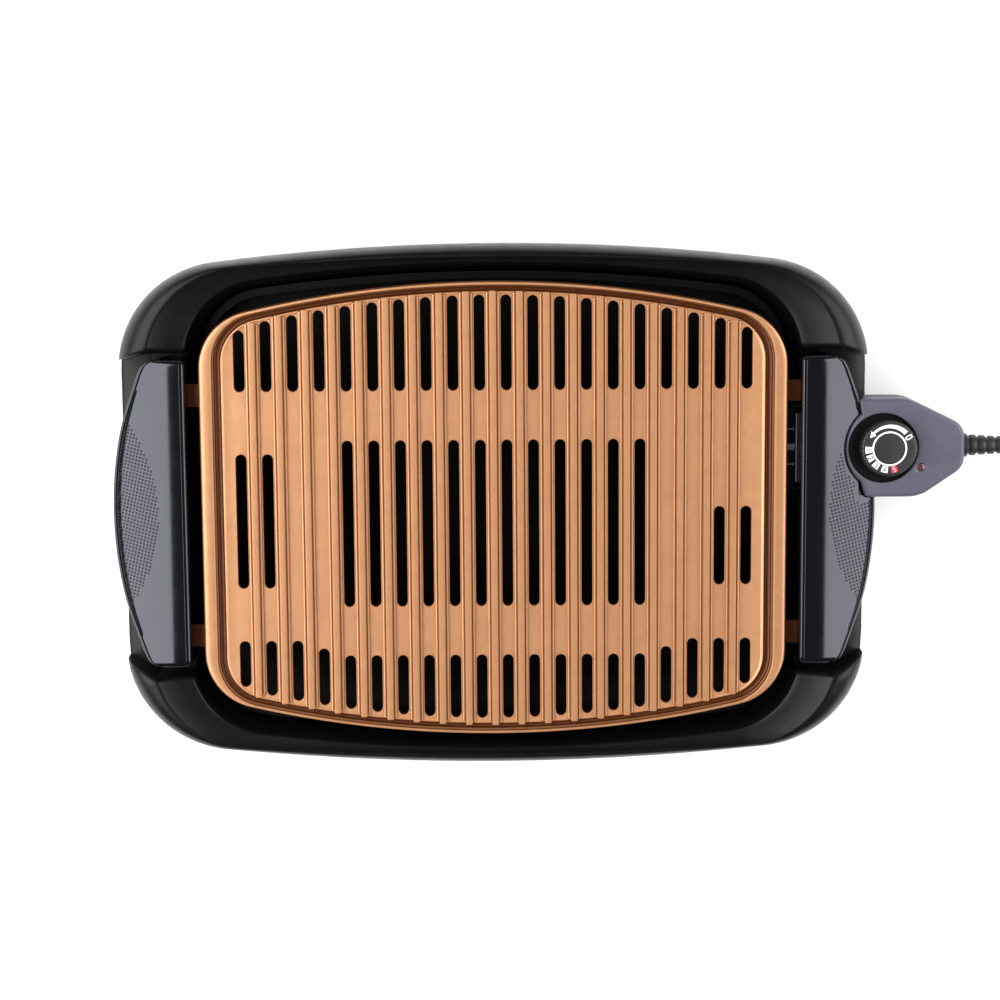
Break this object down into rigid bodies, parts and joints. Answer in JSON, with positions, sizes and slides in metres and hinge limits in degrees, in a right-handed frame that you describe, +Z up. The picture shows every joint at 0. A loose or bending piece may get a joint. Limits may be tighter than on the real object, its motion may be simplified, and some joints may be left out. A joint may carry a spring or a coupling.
{
  "type": "electric griddle",
  "caption": "Electric griddle with a ribbed, slotted copper-coloured plate, two cool-touch handles, a drip tray, a black base and a plug-in probe control with a dial and a short cord.",
  "frame": {"origin": "on the table under the middle of the griddle's box, taken without the free cord", "axes": "+X along the griddle's length towards the control, +Y across it, +Z up"},
  "size_m": [0.658, 0.2992, 0.074],
  "materials": {
    "black_plastic": "satin black moulded plastic",
    "gloss_plastic": "gloss black moulded plastic",
    "dial_plastic": "satin charcoal plastic with white and red marks",
    "copper_coating": "copper coloured non-stick coating on cast aluminium",
    "tray_enamel": "black coated sheet steel",
    "element_steel": "dull sheathed element steel",
    "bright_steel": "bright stainless steel",
    "screw_steel": "zinc plated steel",
    "pin_nickel": "nickel plated",
    "brass": "plain brass",
    "ceramic": "unglazed white ceramic",
    "spacer_fibre": "grey fibre board",
    "switch_board": "brown phenolic board",
    "lamp_glass": "clear neon lamp glass",
    "lens_red": "dark red lens, unlit",
    "lead_sleeve": "white woven sleeving",
    "cord_vinyl": "black vinyl",
    "tie_plastic": "black coated wire tie",
    "foot_rubber": "black rubber"
  },
  "bodies": {
    "base": {"base_housing": "black_plastic", "rubber_foot_1": "foot_rubber", "rubber_foot_2": "foot_rubber", "rubber_foot_3": "foot_rubber", "rubber_foot_4": "foot_rubber", "foot_screw_1": "screw_steel", "foot_screw_2": "screw_steel", "foot_screw_3": "screw_steel", "foot_screw_4": "screw_steel"},
    "drip_tray": {"drip_tray": "tray_enamel"},
    "grill": {"grill_plate": "copper_coating", "heating_element": "element_steel", "terminal_pin_1": "pin_nickel", "terminal_pin_2": "pin_nickel", "terminal_insulator_1": "ceramic", "terminal_insulator_2": "ceramic", "terminal_guard": "tray_enamel", "left_handle": "gloss_plastic", "right_handle": "gloss_plastic", "handle_spacer_1": "spacer_fibre", "handle_spacer_2": "spacer_fibre", "handle_spacer_3": "spacer_fibre", "handle_spacer_4": "spacer_fibre", "handle_screw_1": "screw_steel", "handle_screw_2": "screw_steel", "handle_screw_3": "screw_steel", "handle_screw_4": "screw_steel"},
    "control": {"control_bottom": "gloss_plastic", "control_top": "gloss_plastic", "sensor_probe": "bright_steel", "probe_flange": "brass", "contact_socket_1": "brass", "contact_socket_2": "brass", "thermostat_switch": "switch_board", "neon_lamp": "lamp_glass", "indicator_lens": "lens_red", "inner_leads": "lead_sleeve", "control_screw_1": "screw_steel", "control_screw_2": "screw_steel", "control_screw_3": "screw_steel", "strain_relief": "cord_vinyl", "cord": "cord_vinyl", "cord_coil": "cord_vinyl", "cord_tail": "cord_vinyl", "cord_tie": "tie_plastic", "plug_body": "cord_vinyl", "plug_blade_1": "pin_nickel", "plug_blade_2": "pin_nickel"},
    "dial": {"dial": "dial_plastic", "dial_cap": "dial_plastic", "dial_shaft": "bright_steel"}
  },
  "joints": [
    {"name": "tray_lift", "type": "slide", "parent": "base", "child": "drip_tray", "axis": [0, 0, 1], "range_m": [0, 0.06]},
    {"name": "grill_lift", "type": "slide", "parent": "drip_tray", "child": "grill", "axis": [0, 0, 1], "range_m": [0, 0.08]},
    {"name": "control_unplug", "type": "slide", "parent": "grill", "child": "control", "axis": [1, 0, 0], "range_m": [0, 0.09]},
    {"name": "dial_turn", "type": "hinge", "parent": "control", "child": "dial", "pos_m": [0.1815, 0.034, 0.068], "axis": [0, 0, 1], "range_deg": [-249, 0]}
  ]
}
